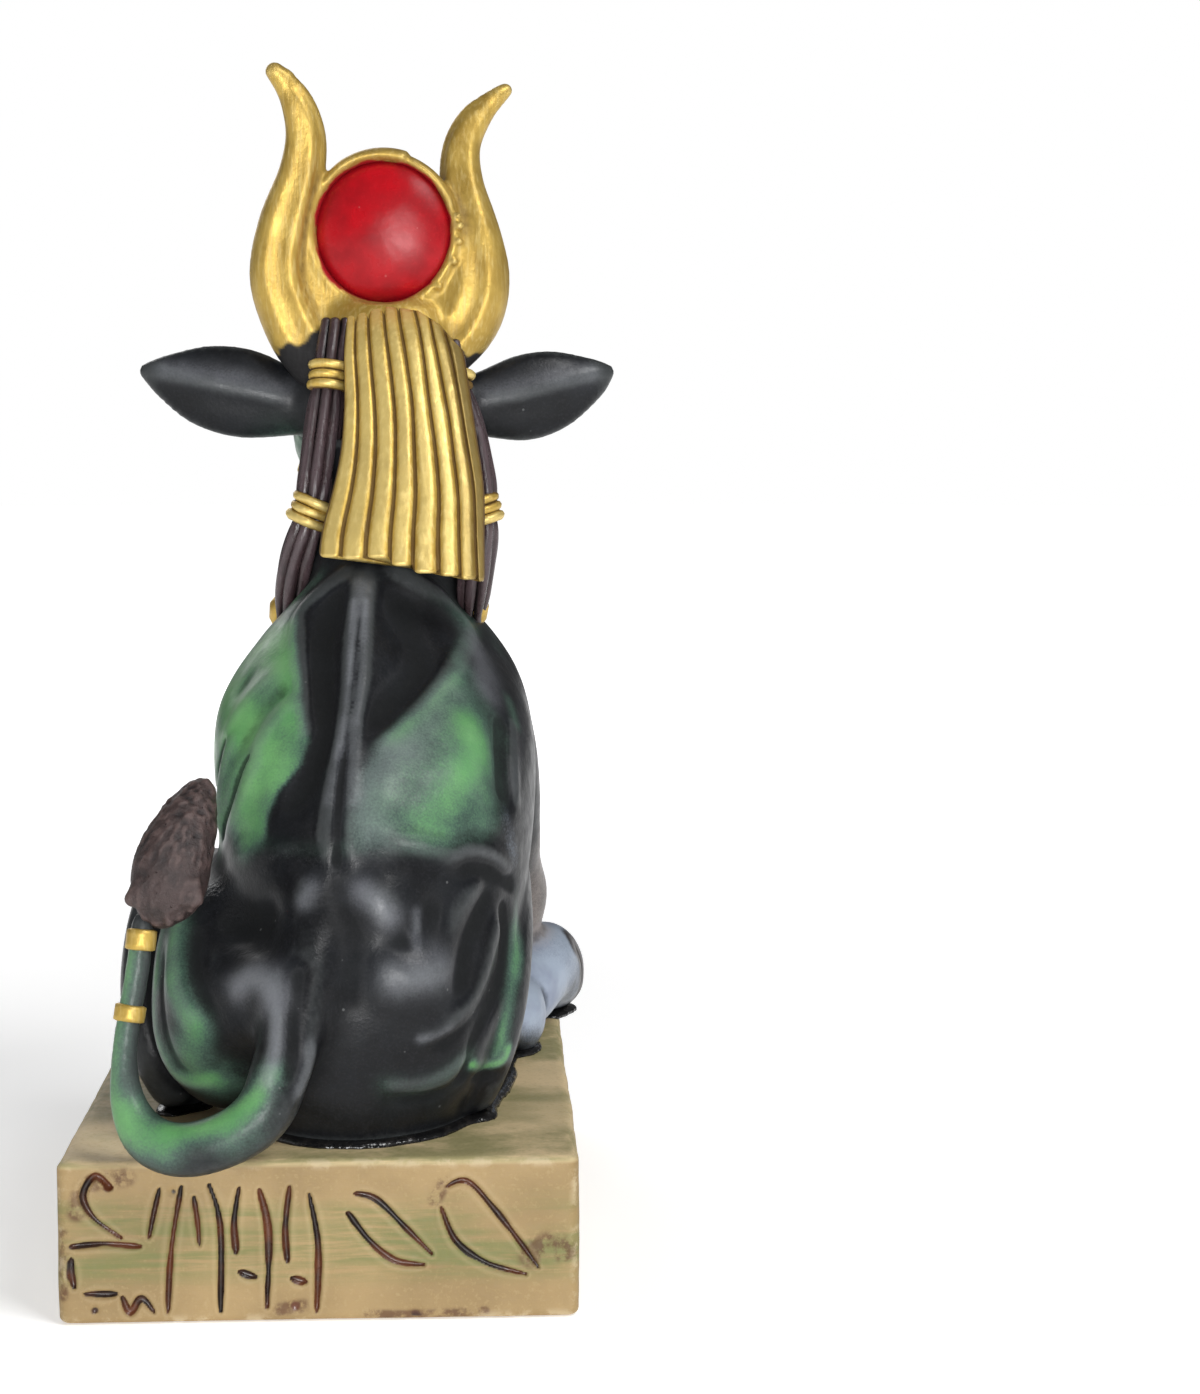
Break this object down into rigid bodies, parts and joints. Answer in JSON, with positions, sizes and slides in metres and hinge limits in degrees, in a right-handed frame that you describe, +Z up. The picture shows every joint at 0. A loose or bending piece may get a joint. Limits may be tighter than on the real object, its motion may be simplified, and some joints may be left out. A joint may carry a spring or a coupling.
{
  "type": "hathor cow figurine",
  "caption": "Seated cow figurine with a horned sun-disc crown, pleated headcloth and braided wig, turned on a low carved block plinth.",
  "frame": {"origin": "middle of the plinth's flat underside", "axes": "+Z up; -Y is the way the cow faces; -X is the cow's own right"},
  "size_m": [0.0747, 0.1043, 0.1665],
  "materials": {
    "painted_resin": "satin",
    "plinth_resin": "matte",
    "gold_paint": "satin",
    "red_enamel": "gloss",
    "braid_paint": "satin",
    "bonding_bead": "gloss"
  },
  "bodies": {
    "root": {"cow": "painted_resin", "plinth": "plinth_resin"}
  },
  "joints": []
}
